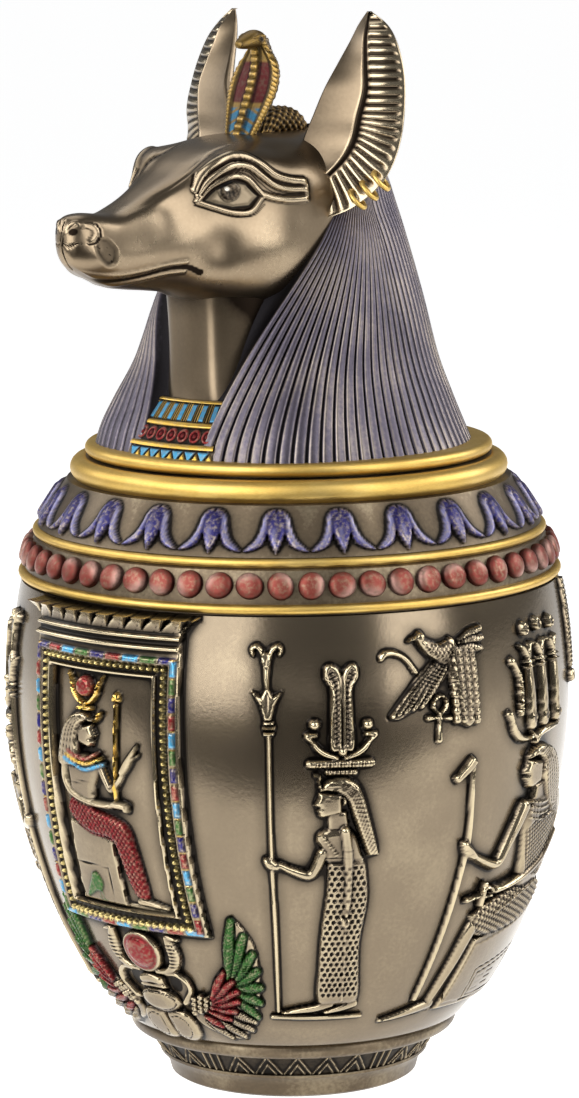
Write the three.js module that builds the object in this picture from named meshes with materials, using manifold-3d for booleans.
// Canopic jar with a jackal-headed lid, cast in resin with an antique bronze finish.
// Two pieces: the hollow jar with its relief, and the lid, which lifts off.
// Millimetres, +Z up. The origin is the centre of the foot's underside, and the framed panel faces -Y.

import * as THREE from 'three';
import { mergeVertices } from 'three/addons/utils/BufferGeometryUtils.js';
import Module from 'manifold-3d';

const wasm = await Module();
wasm.setup();

// Driving dimensions of the jar: radii and heights of its turned profile
const footRadius = 38.5;
const footBandRadius = 42;
const footBandTop = 14.5;
const ledgeRadius = 51;
const ledgeHeight = 17.5;
const bodyFootRadius = 52.5;
const bodyFoot = 20;
const bellyRadius = 86.4;
const bellyHeight = 125;
const fieldTopRadius = 83;
const fieldTop = 157;
const lowerRingRadius = 84.1;
const lowerRingHeight = fieldTop + 2.3;
const upperRingRadius = 79.5;
const beadBandHeight = 12.8;
const upperRingHeight = lowerRingHeight + beadBandHeight;
const shoulderRadius = 69;
const lotusBandHeight = 14.9;
const shoulderHeight = upperRingHeight + lotusBandHeight;
const rimRadius = 67.5;
const rimHeight = shoulderHeight + 4.6;
const rimTop = rimHeight + 3.2;
const mouthRadius = 58;
const wall = 5;
const floorHeight = 24;

// Driving dimensions of the lid
const lidHeight = 134.9;
const flangeRadius = 62.8;
const flangeThickness = 4;
const hemRadius = 56.5;
const plugDepth = 8;

// Clearances between the lid and the jar
const seatGap = 0.3;
const plugGap = 0.7;

// Repeats
const roundSides = 32;
const beadCount = 56;
const lotusCount = 24;
const fluteCount = 24;
const corniceLeafCount = 9;

// Bead row, rings and relief heights
const beadRadius = 3.9;
const beadRise = 2.4;
const ringThickness = 2;
const rimThickness = 3.7;
const lotusRise = 1.2;
const buried = 1.4;
const thickRelief = 2.6;
const thinRelief = 1.7;

// Panel on the front: half widths along the curve, and heights on the jar's carving grid
const panelHalfWidth = 28.3;
const panelRise = 2.6;
const fieldRise = 0.7;
const borderRise = 3.5;
const fieldHalfWidth = 19.4;
const tileHalfWidth = 26.2;
const corniceHalfWidth = 32.4;
const corniceRise = 6.2;

// The jar's carving is laid out on rows that count from the underside to the top of the field
const jarRowCount = 157;
const rowHeight = fieldTop / jarRowCount;
// The lid's carving is laid out on rows that count from the jar's rim to the tips of the ears
const lidRowCount = 135;
const lidUnit = lidHeight / lidRowCount;
const lidBase = rimTop + seatGap;

const radians = THREE.MathUtils.degToRad;
const lerp = THREE.MathUtils.lerp;
const smooth = THREE.MathUtils.smoothstep;

// Radius of the field that carries the figures, from the ledge over the belly to the lower ring
function fieldRadius(z) {
  const lowerFullness = 0.85;
  if (z < bellyHeight) {
    const rise = Math.max((z - bodyFoot) / (bellyHeight - bodyFoot), 0);
    return lerp(bodyFootRadius, bellyRadius, (1 - (1 - rise) ** 2) ** lowerFullness);
  }
  const rise = (z - bellyHeight) / (fieldTop - bellyHeight);
  return lerp(bellyRadius, fieldTopRadius, rise ** 2);
}

// The straight bands above the field: under the beads and under the lotus flowers
const beadBandLow = [lowerRingRadius - ringThickness, lowerRingHeight + ringThickness];
const beadBandHigh = [upperRingRadius - 0.5 * ringThickness, upperRingHeight - ringThickness];
const lotusBandLow = [upperRingRadius - ringThickness, upperRingHeight + ringThickness];
const lotusBandHigh = [shoulderRadius, shoulderHeight];

function bandRadius(low, high, z) {
  const share = (z - low[1]) / (high[1] - low[1]);
  return lerp(low[0], high[0], share);
}

// Outer radius of the jar at a height, without its rings and rim
function jarRadius(z) {
  if (z <= fieldTop) {
    return fieldRadius(z);
  }
  if (z < upperRingHeight) {
    return bandRadius(beadBandLow, beadBandHigh, z);
  }
  return bandRadius(lotusBandLow, lotusBandHigh, z);
}

// A point of the jar at an angle from the front, a height, and a rise over the surface
function onJar(degrees, z, rise) {
  const radius = jarRadius(z) + rise;
  const angle = radians(degrees);
  return new THREE.Vector3(radius * Math.sin(angle), -radius * Math.cos(angle), z);
}

// Round nose of a ring or rim: points on an arc about (radius, height), from one angle to another
function arc(radius, height, size, from, to, steps) {
  const points = [];
  for (let i = 0; i <= steps; i += 1) {
    const angle = radians(lerp(from, to, i / steps));
    points.push(new THREE.Vector2(radius + size * Math.cos(angle), height + size * Math.sin(angle)));
  }
  return points;
}

// Joins pieces into one solid and drops corners that lie within a hair of their neighbours' faces
function joined(pieces) {
  const hair = 0.1;
  return wasm.Manifold.union(pieces).asOriginal().simplify(hair);
}

// A solid from a closed geometry, and a geometry from a solid
function solidFrom(geometry) {
  const bare = geometry.clone();
  bare.deleteAttribute('normal');
  bare.deleteAttribute('uv');
  const merged = mergeVertices(bare, 1e-5);
  const mesh = new wasm.Mesh({
    numProp: 3,
    vertProperties: new Float32Array(merged.attributes.position.array),
    triVerts: new Uint32Array(merged.index.array),
  });
  return new wasm.Manifold(mesh);
}

function geometryFrom(solid) {
  const mesh = solid.getMesh();
  const geometry = new THREE.BufferGeometry();
  const places = new Float32Array(mesh.vertProperties);
  geometry.setAttribute('position', new THREE.BufferAttribute(places, 3));
  geometry.setIndex(new THREE.BufferAttribute(new Uint32Array(mesh.triVerts), 1));
  geometry.computeVertexNormals();
  return geometry;
}

// Signed volume of a triangle soup, which is positive when its faces point out
function signedVolume(points, triangles) {
  const cross = new THREE.Vector3();
  return triangles.reduce((sum, [a, b, c]) => {
    cross.crossVectors(points[b], points[c]);
    return sum + cross.dot(points[a]);
  }, 0);
}

// Solid from points and triangles that close on themselves; its faces are turned to point out
function closedSolid(points, triangles) {
  const outward = signedVolume(points, triangles) > 0;
  const geometry = new THREE.BufferGeometry();
  const places = points.flatMap((point) => point.toArray());
  geometry.setAttribute('position', new THREE.Float32BufferAttribute(places, 3));
  geometry.setIndex(triangles.flatMap(([a, b, c]) => (outward ? [a, b, c] : [a, c, b])));
  return solidFrom(geometry);
}

// Triangles over one end of a loft: its outline is laid flat, seen along its own normal
function endTriangles(ring) {
  const normal = new THREE.Vector3();
  const edge = new THREE.Vector3();
  ring.forEach((point, i) => normal.add(edge.crossVectors(point, ring[(i + 1) % ring.length])));
  normal.normalize();
  const right = new THREE.Vector3(normal.z, normal.x, normal.y).cross(normal).normalize();
  const up = new THREE.Vector3().crossVectors(normal, right);
  const flat = ring.map((point) => new THREE.Vector2(point.dot(right), point.dot(up)));
  return THREE.ShapeUtils.triangulateShape(flat, []);
}

// Closed solid through rings of equally many points
function loft(rings) {
  const count = rings[0].length;
  const points = rings.flat();
  const triangles = [];
  for (let i = 0; i < rings.length - 1; i += 1) {
    for (let j = 0; j < count; j += 1) {
      const a = i * count + j;
      const b = i * count + (j + 1) % count;
      triangles.push([a, b, b + count], [a, b + count, a + count]);
    }
  }
  endTriangles(rings[0]).forEach(([a, b, c]) => triangles.push([c, b, a]));
  const last = (rings.length - 1) * count;
  endTriangles(rings[rings.length - 1]).forEach((triangle) => {
    triangles.push(triangle.map((corner) => last + corner));
  });
  return closedSolid(points, triangles);
}

// Relief on the jar. Across is in degrees from the figure's own middle, rows are the jar's, and
// half widths are in millimetres along the surface.

// A raised stroke along stations [across, row, half width]. A slim one is a plain ridge, and a broad one
// has a level top, narrow where it is rounded and wide where it is flat.
function stroke(turn, flip, stations, rise, rounded = true) {
  const degreeWidth = radians(1) * bellyRadius;
  const slimHalf = 2.3;
  const slim = rounded && stations.every(([, , half]) => half < slimHalf);
  const topShare = rounded ? 0.5 : 0.9;
  const path = stations.map(([across, row]) => new THREE.Vector2(across * degreeWidth, row * rowHeight));
  const section = [[-1.1, -buried], [-topShare, rise], [topShare, rise], [1.1, -buried]];
  if (slim) {
    section.splice(1, 2, [0, rise]);
  }
  const rings = stations.map(([, , half], i) => {
    const ahead = path[Math.min(i + 1, path.length - 1)].clone();
    ahead.sub(path[Math.max(i - 1, 0)]).normalize();
    return section.map(([side, lift]) => {
      const across = path[i].x + side * half * ahead.y;
      const z = path[i].y - side * half * ahead.x;
      return onJar(turn + flip * across / degreeWidth, z, lift);
    });
  });
  return loft(rings);
}

// A low stud with a round or oval outline
function boss(turn, flip, [across, row], [halfWide, halfHigh], rise, sides = 6) {
  const levels = [[1.1, -buried], [0.7, rise]];
  const middle = row * rowHeight;
  const rings = levels.map(([share, lift]) => Array.from({ length: sides }, (_, i) => {
    const angle = (2 * Math.PI * (i + 0.5)) / sides;
    const z = middle + share * halfHigh * Math.sin(angle);
    const aside = (share * halfWide * Math.cos(angle)) / jarRadius(middle);
    return onJar(turn + flip * (across + THREE.MathUtils.radToDeg(aside)), z, lift);
  }));
  return loft(rings);
}

// A curved plate between two heights, as wide along the surface at every height
function plate(halfWidth, low, high, under, over, columns = 4, levels = 5) {
  const rings = [];
  for (let i = 0; i <= columns; i += 1) {
    const across = lerp(-halfWidth, halfWidth, i / columns);
    const ring = [];
    for (let j = 0; j <= levels; j += 1) {
      const z = lerp(low, high, j / levels);
      ring.push(onJar(THREE.MathUtils.radToDeg(across / jarRadius(z)), z, over));
    }
    for (let j = levels; j >= 0; j -= 1) {
      const z = lerp(low, high, j / levels);
      ring.push(onJar(THREE.MathUtils.radToDeg(across / jarRadius(z)), z, under));
    }
    rings.push(ring);
  }
  return loft(rings);
}

// A solid turned about the upright axis from its outline of radius and height
function turned(outline) {
  return solidFrom(new THREE.LatheGeometry(outline, roundSides).rotateX(Math.PI / 2));
}

// Turned body of the jar with its rings, its rim and its hollow
function jarBody() {
  const outline = [
    new THREE.Vector2(0, 0),
    new THREE.Vector2(footRadius, 0),
    new THREE.Vector2(footBandRadius, 0.25 * footBandTop),
    new THREE.Vector2(footBandRadius + 1, footBandTop),
    new THREE.Vector2(ledgeRadius - 1.5, footBandTop + 0.5),
    new THREE.Vector2(ledgeRadius, ledgeHeight),
  ];
  const fieldLevels = 7;
  for (let i = 0; i <= fieldLevels; i += 1) {
    const z = lerp(bodyFoot, fieldTop, (i / fieldLevels) ** 1.35);
    outline.push(new THREE.Vector2(fieldRadius(z), z));
  }
  outline.push(...arc(lowerRingRadius - ringThickness, lowerRingHeight, ringThickness, -60, 80, 2));
  outline.push(new THREE.Vector2(...beadBandHigh));
  outline.push(...arc(upperRingRadius - ringThickness, upperRingHeight, ringThickness, -50, 80, 2));
  outline.push(new THREE.Vector2(...lotusBandHigh));
  outline.push(...arc(rimRadius - rimThickness, rimHeight, rimThickness, -50, 58, 2));
  outline.push(new THREE.Vector2(mouthRadius + 0.4 * (rimRadius - mouthRadius), rimTop));
  outline.push(new THREE.Vector2(mouthRadius, rimTop));
  const neckBottom = rimTop - 1.6 * wall;
  outline.push(new THREE.Vector2(mouthRadius, neckBottom));
  const hollowTop = upperRingHeight;
  outline.push(new THREE.Vector2(jarRadius(hollowTop + ringThickness) - wall, hollowTop));
  const hollowLevels = 4;
  for (let i = 0; i <= hollowLevels; i += 1) {
    const z = lerp(fieldTop, floorHeight + 2 * wall, i / hollowLevels);
    outline.push(new THREE.Vector2(fieldRadius(z) - wall, z));
  }
  outline.push(new THREE.Vector2(fieldRadius(floorHeight) - 2 * wall, floorHeight));
  outline.push(new THREE.Vector2(0, floorHeight));
  return turned(outline);
}

// Bead row between the two rings, each bead a low six-sided point
function beadRow() {
  const middle = 0.5 * (lowerRingHeight + upperRingHeight);
  const sides = 6;
  const apexShare = 0.02;
  const levels = [[1.15, -buried], [apexShare, beadRise]];
  return Array.from({ length: beadCount }, (_, n) => {
    const turn = (360 * n) / beadCount;
    const rings = levels.map(([share, lift]) => Array.from({ length: sides }, (_, i) => {
      const angle = (2 * Math.PI * i) / sides;
      const z = middle + share * beadRadius * Math.sin(angle);
      const aside = (share * beadRadius * Math.cos(angle)) / jarRadius(middle);
      return onJar(turn + THREE.MathUtils.radToDeg(aside), z, lift);
    }));
    return loft(rings);
  });
}

// Hanging lotus flowers: narrow above, flaring below until neighbours nearly touch
function lotusRow() {
  const pitch = 360 / lotusCount;
  const low = lotusBandLow[1];
  const high = lotusBandHigh[1];
  // Share of half the pitch, and share of the band's height from below
  const outline = [[0.92, 0.08], [0.3, 0.92], [-0.3, 0.92], [-0.92, 0.08]];
  return Array.from({ length: lotusCount }, (_, n) => {
    const rings = [-buried, lotusRise].map((lift) => outline.map(([across, up]) => (
      onJar(pitch * (n + 0.5 * across), lerp(low, high, up), lift)
    )));
    return loft(rings);
  });
}

// Rows of the panel's own edges
const panelLow = 58;
const panelHigh = 146;
const fieldLow = 65.5;
const fieldHigh = 138;

// A straight moulding of the panel's frame: upright at a side, or level at a height
function uprightBar(across, half, low, high, rise) {
  const steps = 4;
  const stations = Array.from({ length: steps + 1 }, (_, i) => {
    const row = lerp(low, high, i / steps);
    return [THREE.MathUtils.radToDeg(across / jarRadius(row * rowHeight)), row, half];
  });
  return stroke(0, 1, stations, rise, false);
}

function levelBar(halfLength, row, half, rise) {
  const steps = 3;
  const reach = THREE.MathUtils.radToDeg(halfLength / jarRadius(row * rowHeight));
  const stations = Array.from({ length: steps + 1 }, (_, i) => [lerp(-reach, reach, i / steps), row, half]);
  return stroke(0, 1, stations, rise, false);
}

// Frame of the panel: stepped mouldings round a sunk field
function panelFrame() {
  const body = plate(panelHalfWidth, panelLow * rowHeight, panelHigh * rowHeight, -buried, panelRise);
  const tileBar = 1.3;
  const lipBar = 0.7;
  const lines = [
    [tileHalfWidth, panelLow + 1.6, panelHigh - 2, tileBar, borderRise],
    [fieldHalfWidth + 0.9, fieldLow - 0.9, fieldHigh + 0.9, lipBar, borderRise],
  ];
  const bars = lines.flatMap(([half, low, high, thick, rise]) => [
    uprightBar(-half, thick, low, high, rise),
    uprightBar(half, thick, low, high, rise),
    levelBar(half + thick, low, thick, rise),
    levelBar(half + thick, high, thick, rise),
  ]);
  return { body, bars };
}

function panelField() {
  const clear = 3 * borderRise;
  return plate(fieldHalfWidth, fieldLow * rowHeight, fieldHigh * rowHeight, fieldRise, clear);
}

// Hollow cornice over the panel, its leaves as alternate high and low flutes
function cornice() {
  const low = panelHigh * rowHeight;
  const high = fieldTop - 0.4;
  const neck = 0.4;
  const columns = 2 * corniceLeafCount;
  // Each level: share of the height, rise, and how much of it the flutes cut back
  const levels = [
    [0, borderRise, 0],
    [0.1, borderRise + 0.7, 0],
    [0.22, panelRise, 0],
    [0.3, borderRise + 0.6, 0],
    [neck, panelRise + 0.3, 0],
    [0.72, lerp(panelRise, corniceRise, 0.35), 0.25],
    [0.95, corniceRise, 0.45],
    [1, corniceRise - 0.5, 0.45],
  ];
  const rings = [];
  for (let i = 0; i <= columns; i += 1) {
    const cut = i % 2;
    const half = (share) => lerp(panelHalfWidth, corniceHalfWidth, smooth(share, neck, 1));
    const front = levels.map(([share, rise, depth]) => {
      const z = lerp(low, high, share);
      const across = lerp(-half(share), half(share), i / columns);
      return onJar(THREE.MathUtils.radToDeg(across / jarRadius(z)), z, rise * (1 - depth * cut));
    });
    const back = [1, 0].map((share) => {
      const z = lerp(low, high, share);
      const across = lerp(-half(share), half(share), i / columns);
      return onJar(THREE.MathUtils.radToDeg(across / jarRadius(z)), z, -buried);
    });
    rings.push([...front, ...back]);
  }
  return loft(rings);
}

// Seated goddess in the sunk field, facing right, her arms bent, on a block throne
function panelGoddess() {
  const low = fieldRise + thinRelief;
  const high = fieldRise + thickRelief;
  const strokes = [
    [low, false, [[-5, 91, 7.6], [-5, 80, 8.4], [-5.2, 66, 9.4]]],
    [high, true, [[-7.4, 96, 3], [-4.5, 92.5, 4], [0, 91.4, 4.2], [3.6, 89.6, 3.8]]],
    [high, true, [[3.4, 91.5, 3.8], [4.4, 84, 3.7], [5.8, 77, 3.1], [6.9, 69.5, 2.2]]],
    [low, true, [[5.2, 67.3, 1.3], [8.4, 67.4, 1.3], [12.6, 66.8, 0.8]]],
    [high, true, [[-4.4, 112, 5.4], [-4.8, 104.5, 5], [-5.6, 96, 5]]],
    [high, true, [[-8.8, 109.5, 1.8], [-8.6, 101.4, 1.8], [-1, 97.7, 1.6], [6, 97.9, 1.6]]],
    [low, true, [[0, 109.5, 2], [2.4, 103.2, 2], [6.2, 109.6, 1.3], [9, 117.4, 0.9]]],
    [high, true, [[-2.6, 125, 2.6], [-5.6, 121.5, 4.4], [-6.8, 116, 4.6], [-7.2, 109.5, 3.8]]],
    [low, true, [[-2.6, 122.6, 2.8], [-1.5, 119, 2.9], [-1.6, 116, 2]]],
    [high, true, [[-8.6, 112.4, 1.6], [-4, 109, 2.2], [0.6, 111.6, 1.6]]],
    [high, true, [[3.5, 98, 0.9], [4.6, 131, 1.1]]],
    [low, true, [[-8, 137.4, 0.6], [-6.6, 131.4, 1], [-3.4, 127.8, 1.2], [-0.2, 131.4, 1], [2, 136.8, 0.6]]],
  ];
  const bosses = [boss(0, 1, [-3.4, 133.6], [3.4, 3.4], high, 8)];
  return [...strokes.map(([rise, crowned, stations]) => stroke(0, 1, stations, rise, crowned)), ...bosses];
}

// Winged scarab under the panel, holding a sun disc between two cobras
function scarab() {
  const turn = 2;
  const discRow = 51;
  const middle = [
    boss(turn, 1, [0, discRow], [6.6, 6.4], thickRelief + 0.8, 10),
    boss(turn, 1, [0, 41.6], [3.2, 2.2], thickRelief, 6),
    boss(turn, 1, [0, 34], [7.4, 4.2], thickRelief + 0.8, 8),
  ];
  // Wing feathers: root, tip and half width, from the upright one at the top to the lowest
  const feathers = [
    [[21.6, 45.5], [24.6, 64.6], 2.4],
    [[23.2, 44], [28.2, 57.4], 2.1],
    [[24, 42.4], [29.8, 49], 2.1],
    [[23.8, 40], [29.8, 41.4], 2.1],
    [[22.8, 37], [29, 34.4], 2],
    [[20.6, 33], [27, 28.8], 1.9],
    [[17, 29.4], [23.6, 24], 1.8],
  ];
  const sides = [-1, 1].flatMap((flip) => [
    stroke(turn, flip, [[4.2, 31, 3.6], [5, 26.5, 4.4], [4.4, 21, 2.2]], thickRelief + 0.6),
    stroke(turn, flip, [[8.4, 56, 1.6], [8, 51, 2.6], [6.4, 44, 1.4]], thickRelief),
    stroke(turn, flip, [[6, 44, 1.4], [11, 41.4, 1.5], [9.4, 35.6, 1.4]], thickRelief),
    stroke(turn, flip, [[8, 32.6, 2], [16.5, 35.4, 5.8], [22.4, 42.6, 4]], thinRelief),
    ...feathers.map(([root, tip, half]) => (
      stroke(turn, flip, [[...root, 0.8 * half], [...tip, half]], thinRelief)
    )),
  ]);
  return [...middle, ...sides];
}

// Sceptre with a lotus flower, two scrolls and a knob on top; it stands left of its figure
function lotusSceptre(turn, flip, across) {
  const shaft = [33, 56, 90, 132].map((row) => [across, row, 1.2]);
  return [
    stroke(turn, flip, shaft, thinRelief),
    stroke(turn, flip, [[across, 131, 1.2], [across, 138, 3.6], [across, 147, 1.6]], thinRelief + 0.4),
    stroke(turn, flip, [[across - 2.6, 143, 2.2], [across + 2.6, 143, 2.2]], thinRelief + 0.4),
  ];
}

// Standing goddess with two tall plumes, in a long net dress, one hand on the sceptre
function standingGoddess(turn, flip) {
  const dress = [[0.9, 96, 4], [1, 90.6, 8], [0.7, 81, 6.2], [1.6, 70, 8.6], [1.4, 54, 8.2], [1.6, 36, 9]];
  const strokes = [
    [thickRelief, true, dress],
    [thinRelief, true, [[-4.2, 90.5, 2.1], [-9, 80.5, 2], [-13.4, 84, 1.6]]],
    [thickRelief + 0.4, true, [[6.8, 90, 2.2], [8.8, 78.5, 2.1], [7.4, 66, 1.7]]],
    [thickRelief, true, [[-0.2, 110, 5], [2.4, 103, 7.4], [6.6, 85, 4]]],
    [thickRelief, true, [[-1.4, 108.4, 3.6], [-2.4, 103, 4.6], [-2, 97, 3]]],
    [thickRelief, false, [[-6.4, 114, 1.4], [6.4, 114, 1.4]]],
    [thickRelief, true, [[-1.4, 115, 2.4], [-1.9, 134, 3.2], [-1.3, 143, 1.4]]],
    [thickRelief, true, [[2, 115, 2.4], [2.6, 134, 3.2], [2, 143, 1.4]]],
    [thinRelief, true, [[6, 34.3, 1.8], [-6.4, 33.8, 1.2]]],
    [thinRelief, true, [[-16.2, 31.6, 1], [-3, 31.6, 1], [9.8, 31.6, 1]]],
  ];
  return [
    ...strokes.map(([rise, crowned, stations]) => stroke(turn, flip, stations, rise, crowned)),
    ...lotusSceptre(turn, flip, -14.5),
  ];
}

// Vulture with hanging wings and a fanned tail, a ring in its claws
function vulture(turn, flip) {
  const strokes = [
    [thickRelief, true, [[-5.8, 149, 1.2], [-3, 145, 2.4], [2.6, 139.4, 4.6]]],
    [thinRelief, true, [[3, 140, 3], [8, 144.4, 3.4], [11.4, 148.4, 4]]],
    [thinRelief, true, [[-1, 141.4, 3.6], [-6.6, 138, 5], [-9.8, 126, 1.8]]],
    [thinRelief, true, [[3, 142, 3.8], [6.6, 134, 5], [7.8, 121.6, 2]]],
    [thinRelief, true, [[-11.6, 145.6, 0.8], [-9.6, 143, 1.2], [-8.6, 139, 1]]],
  ];
  return [
    ...strokes.map(([rise, crowned, stations]) => stroke(turn, flip, stations, rise, crowned)),
    boss(turn, flip, [0.8, 120.6], [2.4, 2.4], thinRelief, 8),
  ];
}

// Seated king with a triple crown on a block throne, one hand on a hooked sceptre
function seatedKing(turn, flip) {
  const strokes = [
    [thinRelief, false, [[0, 60.5, 13], [-0.5, 46, 14.4], [-1, 32, 15.6]]],
    [thickRelief, true, [[-2.4, 99, 4.6], [0, 92.4, 11], [0.4, 80, 9.8], [0.6, 68, 9]]],
    [thickRelief, true, [[3, 61, 7], [-7, 59.6, 5.6], [-17, 58.4, 3.8]]],
    [thickRelief, true, [[-16.6, 63.4, 4], [-20.4, 52, 3.6], [-24.6, 41, 3], [-27.6, 32, 2.6]]],
    [thinRelief, true, [[-25.8, 30.2, 1.8], [-33, 30, 1.7], [-38.8, 28.8, 1]]],
    [thinRelief, true, [[-9.6, 92.4, 2.6], [-15.8, 76.8, 1.9], [-26.4, 83.6, 1.7]]],
    [thickRelief + 0.4, true, [[7.6, 80, 2.2], [-2, 70.4, 1.9], [-19.4, 67, 1.6]]],
    [thinRelief, true, [[-30.4, 34.6, 1.1], [-26.2, 79, 1.1], [-26.4, 110, 1.1], [-30.6, 105.6, 1.4]]],
    [thickRelief, true, [[-7.6, 109.6, 3.4], [-2.4, 106.4, 5.2], [0.4, 98.6, 4.6], [4.4, 87, 3.2]]],
    [thickRelief, true, [[-7, 106.4, 4.2], [-7.2, 102.4, 4.6], [-6, 98.6, 3]]],
    [thinRelief, true, [[2.6, 115.4, 1.4], [-9.4, 114, 1.4], [-16.4, 121.6, 1.3]]],
  ];
  const bundlePitch = 5.5;
  const bundleTop = 144.4;
  const bundles = [-1, 0, 1].flatMap((step) => {
    const across = bundlePitch * step - 3.9;
    const lean = [[across + 0.2, 116, 2.2], [across - 0.8, 132, 2.2], [across - 1.7, bundleTop, 1.2]];
    return [
      stroke(turn, flip, lean, thickRelief),
      boss(turn, flip, [across - 1.8, bundleTop + 2.6], [2, 2.4], thickRelief),
    ];
  });
  return [
    ...strokes.map(([rise, crowned, stations]) => stroke(turn, flip, stations, rise, crowned)),
    ...bundles,
  ];
}

// Feathered standard with a ring at its foot, which hangs from the lower ring
function hangingStandard(turn, flip) {
  return [
    stroke(turn, flip, [[0.4, 156, 1.8], [0.2, 150, 2.8], [0, 128.4, 1.6]], thinRelief),
    boss(turn, flip, [0, 126.6], [2.3, 2.3], thinRelief + 0.5),
  ];
}

// Plain pillar for the hidden sides, with bars across its head and a ground line
function pillar(turn) {
  const bars = [122, 130, 138].map((row) => [[-5.4, row, 1.8], [5.4, row, 1.8]]);
  return [
    stroke(turn, 1, [[0, 32, 5.2], [0, 62, 4.8], [0, 100, 4.4], [0, 142, 3.6]], thinRelief),
    ...bars.map((stations) => stroke(turn, 1, stations, thickRelief)),
    stroke(turn, 1, [[-9, 31.8, 1], [9, 31.8, 1]], thinRelief),
  ];
}

// The whole jar: turned body, rows of ornament, framed panel and figures
function makeJar() {
  const figureTurn = 50;
  const vultureTurn = 70;
  const kingTurn = 105.5;
  const standardTurn = 120;
  const pillarTurn = 90;
  const frame = panelFrame();
  const figures = [
    ...standingGoddess(figureTurn, 1),
    ...standingGoddess(-figureTurn, -1),
    ...vulture(vultureTurn, 1),
    ...seatedKing(kingTurn, 1),
    ...hangingStandard(standardTurn, 1),
    ...hangingStandard(-standardTurn, -1),
    ...pillar(-pillarTurn),
    ...pillar(2 * pillarTurn),
  ];
  const framed = wasm.Manifold.union([frame.body, ...frame.bars]).subtract(panelField());
  return joined([
    jarBody(),
    framed,
    cornice(),
    ...panelGoddess(),
    ...beadRow(),
    ...lotusRow(),
    ...scarab(),
    ...figures,
  ]);
}

// A point of the lid: x and y in the lid's units, z in rows above the rim
function onLid(x, y, row) {
  return new THREE.Vector3(x * lidUnit, y * lidUnit, lidBase + row * lidUnit);
}

// Gold flange that rests on the rim, with the plug that drops into the mouth
function flangeAndPlug() {
  const plugRadius = mouthRadius - plugGap;
  const chamfer = 1;
  const noseRadius = 0.5 * flangeThickness;
  const top = lidBase + flangeThickness;
  const outline = [
    new THREE.Vector2(0, lidBase - plugDepth),
    new THREE.Vector2(plugRadius - chamfer, lidBase - plugDepth),
    new THREE.Vector2(plugRadius, lidBase - plugDepth + chamfer),
    new THREE.Vector2(plugRadius, lidBase),
    ...arc(flangeRadius - noseRadius, lidBase + noseRadius, noseRadius, -90, 90, 3),
    new THREE.Vector2(0, top),
  ];
  return turned(outline);
}

// The wig at each level: row, reach to the side, to the front and to the back as shares of the hem,
// and how far the lappets in front stand out
const wigLevels = [
  [3.2, 1, 1, 1, 0.06],
  [10, 0.94, 0.93, 0.95, 0.07],
  [18, 0.88, 0.86, 0.9, 0.06],
  [30, 0.805, 0.79, 0.84, 0.03],
  [48, 0.715, 0.735, 0.775, 0],
  [65, 0.62, 0.62, 0.7, 0],
  [76, 0.53, 0.5, 0.61, 0],
  [86, 0.38, 0.3, 0.48, 0],
  [93, 0.17, 0.1, 0.26, 0],
];

// Radius of the wig at an angle from the front, before its flutes
function wigRadius([, side, front, back, lappet], angle) {
  const facing = Math.cos(angle);
  const reach = facing > 0 ? front : back;
  const round = 1 / Math.hypot(Math.cos(angle) / reach, Math.sin(angle) / side);
  const spread = Math.abs(Math.atan2(Math.sin(angle), facing));
  const lappetShare = Math.exp(-(((spread - radians(42)) / radians(22)) ** 2));
  const throatShare = 1 - smooth(spread, radians(11), radians(15));
  const throatDepth = 0.08;
  return hemRadius * (round + lappet * lappetShare - throatDepth * throatShare * (lappet > 0 ? 1 : 0));
}

// Radius of the wig at the middle of its front, at a row between two of its levels
function wigFront(row) {
  const next = Math.max(wigLevels.findIndex(([level]) => level >= row), 1);
  const [before, after] = [wigLevels[next - 1], wigLevels[next]];
  return lerp(wigRadius(before, 0), wigRadius(after, 0), (row - before[0]) / (after[0] - before[0]));
}

// Wig with upright flutes that draw together behind the ears
function wig() {
  const rings = wigLevels.map((level) => Array.from({ length: 2 * fluteCount }, (_, i) => {
    const angle = (Math.PI * i) / fluteCount;
    const groove = i % 2 === 0 ? 1 : 0.968;
    const radius = wigRadius(level, angle) * groove;
    const z = lidBase + level[0] * lidUnit;
    return new THREE.Vector3(radius * Math.sin(angle), -radius * Math.cos(angle), z);
  }));
  return loft(rings);
}

// The head as sections from the nose to the back of the skull: y, top row, bottom row, half width,
// and how round the upper corners are, from 0.5 for square ones to 1 for an oval
const headSections = [
  [-99.6, 76, 68, 2.6, 0.8],
  [-97.4, 78.8, 64.5, 5, 0.8],
  [-92, 79.3, 61, 7, 0.8],
  [-82.7, 78.8, 57.2, 8.6, 0.8],
  [-74.7, 81, 55.8, 9.8, 0.8],
  [-65.5, 84.9, 54.8, 11.6, 0.75],
  [-57, 88.6, 53.6, 14, 0.65],
  [-50, 92.5, 51.5, 17.2, 0.58],
  [-43, 95.3, 49.5, 19.8, 0.56],
  [-35, 97.1, 47.3, 22.4, 0.58],
  [-24, 98.5, 45.3, 25.2, 0.66],
  [-10, 98.8, 44.3, 26.8, 0.8],
  [6, 98.5, 44.9, 26.2, 0.85],
  [20, 95.6, 44, 23.6, 0.85],
  [31, 87, 50, 18, 0.85],
  [37, 77, 58, 9, 0.9],
];
const lowerRoundness = 0.75;
const widestShare = 0.6;

// Half width of a section at a row: broad above and narrow below, like a jackal's brow, muzzle and cheeks
function sectionReach([, top, bottom, half, roundness], row) {
  const middle = lerp(bottom, top, widestShare);
  const up = row > middle ? (row - middle) / (top - middle) : (middle - row) / (middle - bottom);
  const corner = row > middle ? roundness : lowerRoundness;
  const level = Math.min(up, 1) ** (2 / corner);
  return half * (1 - level) ** (0.5 * corner);
}

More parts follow.
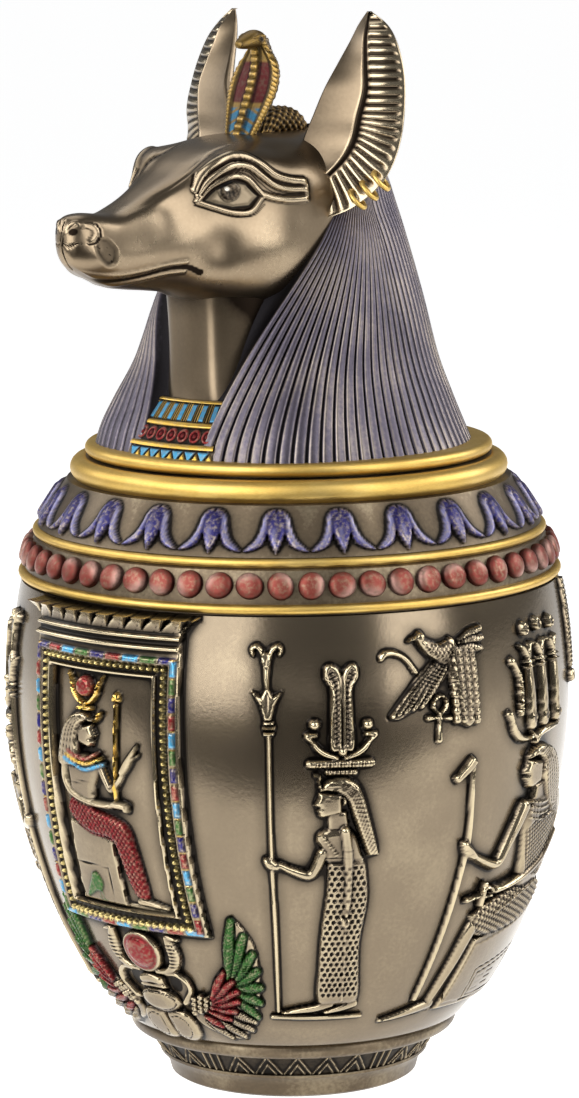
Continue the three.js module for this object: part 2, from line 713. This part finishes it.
// Point on the side of the head at a depth and a row, standing off the surface by a lift
function onHead(side, y, row, lift) {
  const next = Math.max(headSections.findIndex(([depth]) => depth >= y), 1);
  const [before, after] = [headSections[next - 1], headSections[next]];
  const share = (y - before[0]) / (after[0] - before[0]);
  const section = before.map((value, i) => lerp(value, after[i], share));
  return onLid(side * (sectionReach(section, row) + lift), y, row);
}

function head() {
  const sides = 14;
  const rings = headSections.map((section) => {
    const [y, top, bottom, half, roundness] = section;
    const middle = lerp(bottom, top, widestShare);
    return Array.from({ length: sides }, (_, i) => {
      const angle = (2 * Math.PI * (i + 0.5)) / sides;
      const up = Math.sin(angle);
      const corner = up > 0 ? roundness : lowerRoundness;
      const aside = Math.sign(Math.cos(angle)) * Math.abs(Math.cos(angle)) ** corner;
      const rise = Math.sign(up) * Math.abs(up) ** corner;
      const reach = up > 0 ? top - middle : middle - bottom;
      return onLid(half * aside, y, middle + reach * rise);
    });
  });
  return loft(rings);
}

// A bar through given points of the lid with a square section of given half widths
function bar(points, halfWide, halfHigh) {
  const rings = points.map((point, i) => {
    const ahead = points[Math.min(i + 1, points.length - 1)].clone();
    ahead.sub(points[Math.max(i - 1, 0)]).normalize();
    const up = new THREE.Vector3(0, 0, 1).addScaledVector(ahead, -ahead.z).normalize();
    const side = new THREE.Vector3().crossVectors(ahead, up);
    return [[-1, -1], [1, -1], [1, 1], [-1, 1]].map(([a, b]) => (
      point.clone()
        .addScaledVector(side, a * halfWide * lidUnit)
        .addScaledVector(up, b * halfHigh * lidUnit)
    ));
  });
  return loft(rings);
}

// Line of the mouth on both sides of the muzzle, cut as a shallow groove
function mouthCuts() {
  const places = [[-97, 64.4], [-88, 61], [-74, 59.8], [-56, 60.6]];
  return [-1, 1].map((side) => bar(places.map(([y, row]) => onHead(side, y, row, 0)), 1.4, 0.7));
}

// Brow bands and the painted line round each eye, as raised ridges on the side of the head
function eyeRidges() {
  const rows = [
    [[-56, 84], [-50, 88.6], [-42.5, 91.4], [-33, 88.5], [-21, 85.5]],
    [[-54, 81], [-45.6, 77.8], [-37.6, 79.6], [-30, 82], [-20, 80.6]],
  ];
  const lift = 0.2;
  return [-1, 1].flatMap((side) => rows.map((places) => (
    bar(places.map(([y, row]) => onHead(side, y, row, lift)), 1.4, 0.8)
  )));
}

// Eyeballs: almond domes between the brow bands
function eyes() {
  const sides = 8;
  const levels = [[1, -1.6], [0.5, 1.1]];
  return [-1, 1].map((side) => {
    const rings = levels.map(([share, lift]) => Array.from({ length: sides }, (_, i) => {
      const angle = (2 * Math.PI * i) / sides;
      return onHead(side, -45.6 + 6.8 * share * Math.cos(angle), 84 + 3.4 * share * Math.sin(angle), lift);
    }));
    return loft(rings);
  });
}

// Ears: each level gives its row, the inner edge, the outer edge and the thickness behind the line between them
const earLevels = [
  [73.1, [17.6, -15.4], [24.5, -13.8], 5.5],
  [79.4, [17, -14], [36, -6.6], 8.4],
  [86, [16, -12.4], [40.8, -1.5], 9],
  [97, [14.8, -9.2], [42.8, 3], 9],
  [104, [17.2, -7.6], [43.7, 3.5], 8.2],
  [112, [20, -5.6], [42.9, 5.1], 6.8],
  [119, [21.7, -1.6], [41.1, 6.3], 5.4],
  [126, [23.4, 2.6], [37.8, 7.2], 4],
  [131, [24.8, 5], [33.6, 8], 2.5],
  [135, [26.6, 7], [27.9, 7.4], 0.9],
];

function ears() {
  // A ridge runs up the front of the ear, proud of the line between its edges
  const ridgeRise = 0.34;
  return [-1, 1].map((side) => {
    const rings = earLevels.map(([row, inner, outer, thick]) => {
      const middle = [0.55 * inner[0] + 0.45 * outer[0], 0.55 * inner[1] + 0.45 * outer[1]];
      const section = [
        inner,
        [middle[0] + 0.4 * ridgeRise * thick, middle[1] - 0.9 * ridgeRise * thick],
        outer,
        [outer[0] - 0.08 * thick, outer[1] + 0.32 * thick],
        [middle[0], middle[1] + thick],
        [inner[0] + 0.08 * thick, inner[1] + 0.5 * thick],
      ];
      return section.map(([x, y]) => onLid(side * x, y, row));
    });
    return loft(rings);
  });
}

// Cobra on the forehead: raised hood, head looking forward, and a coil that lies back on the skull
function cobra() {
  // Row, y, half width and half thickness of the hood and neck
  const hoodLevels = [
    [93.5, -21.5, 4.6, 2.4],
    [98.4, -20.6, 5.8, 2.2],
    [106, -17.4, 8.2, 1.9],
    [112.5, -14.6, 9.3, 1.7],
    [118.5, -12.4, 7.8, 1.9],
    [123.5, -11.8, 3.9, 2.6],
    [127, -13.2, 3.3, 3.1],
  ];
  const round = (x, y, row, halfWide, halfDeep) => Array.from({ length: 8 }, (_, i) => {
    const angle = (Math.PI * i) / 4;
    return onLid(x + halfWide * Math.cos(angle), y + halfDeep * Math.sin(angle), row);
  });
  const hood = loft(hoodLevels.map(([row, y, wide, deep]) => round(0, y, row, wide, deep)));
  // Head: y, row of its middle, half width and half height
  const headLevels = [
    [-11.6, 126.6, 2.4, 1.8],
    [-14.6, 127, 3.8, 2.6],
    [-18.4, 126.4, 3, 2.2],
    [-21.6, 125.6, 1.6, 1.1],
  ];
  const cobraHead = loft(headLevels.map(([y, row, wide, high]) => Array.from({ length: 8 }, (_, i) => {
    const angle = (Math.PI * i) / 4;
    return onLid(wide * Math.cos(angle), y, row + high * Math.sin(angle));
  })));
  // Coil: y, row, half width and half height along the skull
  const coilLevels = [
    [-17, 95.9, 2.6, 2.2],
    [-13, 99.5, 3.8, 3.4],
    [-8, 101.3, 4.6, 4.2],
    [0, 100.9, 4.9, 4.4],
    [4.6, 98.9, 4, 4],
  ];
  const coil = loft(coilLevels.map(([y, row, wide, high]) => Array.from({ length: 8 }, (_, i) => {
    const angle = (Math.PI * i) / 4;
    return onLid(wide * Math.cos(angle), y, row + high * Math.sin(angle));
  })));
  return [hood, cobraHead, coil];
}

// Three gold hoops round the lower edge of each ear: each lies across the edge and passes behind the lobe
function hoops() {
  const hoopRadius = 3.2;
  const hoopThickness = 0.75;
  const places = [[39.8, -3, 84.9], [37, -5.2, 82.1], [34.2, -7.4, 79.4]];
  return [-1, 1].flatMap((side) => places.map(([x, y, row]) => {
    const ring = new THREE.TorusGeometry(hoopRadius * lidUnit, hoopThickness * lidUnit, 3, 9);
    const downEdge = new THREE.Vector3(side * 0.51, 0.43, -0.74).normalize();
    const behind = new THREE.Vector3(side * -0.52, 0.84, 0.13);
    const along = new THREE.Vector3().crossVectors(downEdge, behind).normalize();
    behind.crossVectors(along, downEdge);
    ring.applyMatrix4(new THREE.Matrix4().makeBasis(downEdge, behind, along));
    const centre = onLid(side * x, y, row);
    ring.translate(centre.x, centre.y, centre.z);
    return solidFrom(ring);
  }));
}

// Broad collar over the throat, between the wig's lappets: bands that follow its curve
function collar() {
  const rows = [[5, 1.5], [10.6, 1.2], [16.2, 1]];
  const standOff = 0.6;
  return rows.map(([row, half]) => {
    const front = wigFront(row) / lidUnit + standOff;
    const points = [-12, -4, 4, 12].map((x) => onLid(x, -Math.sqrt(front ** 2 - x ** 2), row));
    return bar(points, 1.6, half);
  });
}

// Throat between the lappets: row, depth of its front, and half width
function throat() {
  const levels = [[13, -44.6, 19], [26, -45.4, 18], [40, -46, 17.5], [54, -47, 18]];
  const back = -20;
  const front = [[-1, 0.45], [-0.75, 0.16], [-0.3, 0], [0.3, 0], [0.75, 0.16], [1, 0.45]];
  const outline = [...front, [1, 1], [-1, 1]];
  const rings = levels.map(([row, depth, half]) => outline.map(([across, deep]) => (
    onLid(half * across, lerp(depth, back, deep), row)
  )));
  return loft(rings);
}

// The whole lid: flange and plug, wig, head with its ears, cobra, hoops and collar
function makeLid() {
  const faceParts = wasm.Manifold.union([head(), ...eyeRidges(), ...eyes()]);
  const cutHead = mouthCuts().reduce((solid, cut) => solid.subtract(cut), faceParts);
  return joined([
    flangeAndPlug(),
    wig(),
    throat(),
    cutHead,
    ...ears(),
    ...cobra(),
    ...hoops(),
    ...collar(),
  ]);
}

const bronze = { color: 0x8c785f, roughness: 0.45, metalness: 0.85 };
const jar = new THREE.Mesh(geometryFrom(makeJar()), new THREE.MeshStandardMaterial(bronze));
jar.name = 'jar';
const lid = new THREE.Mesh(geometryFrom(makeLid()), new THREE.MeshStandardMaterial(bronze));
lid.name = 'lid';

const canopicJar = new THREE.Group();
canopicJar.add(jar, lid);

export default canopicJar;
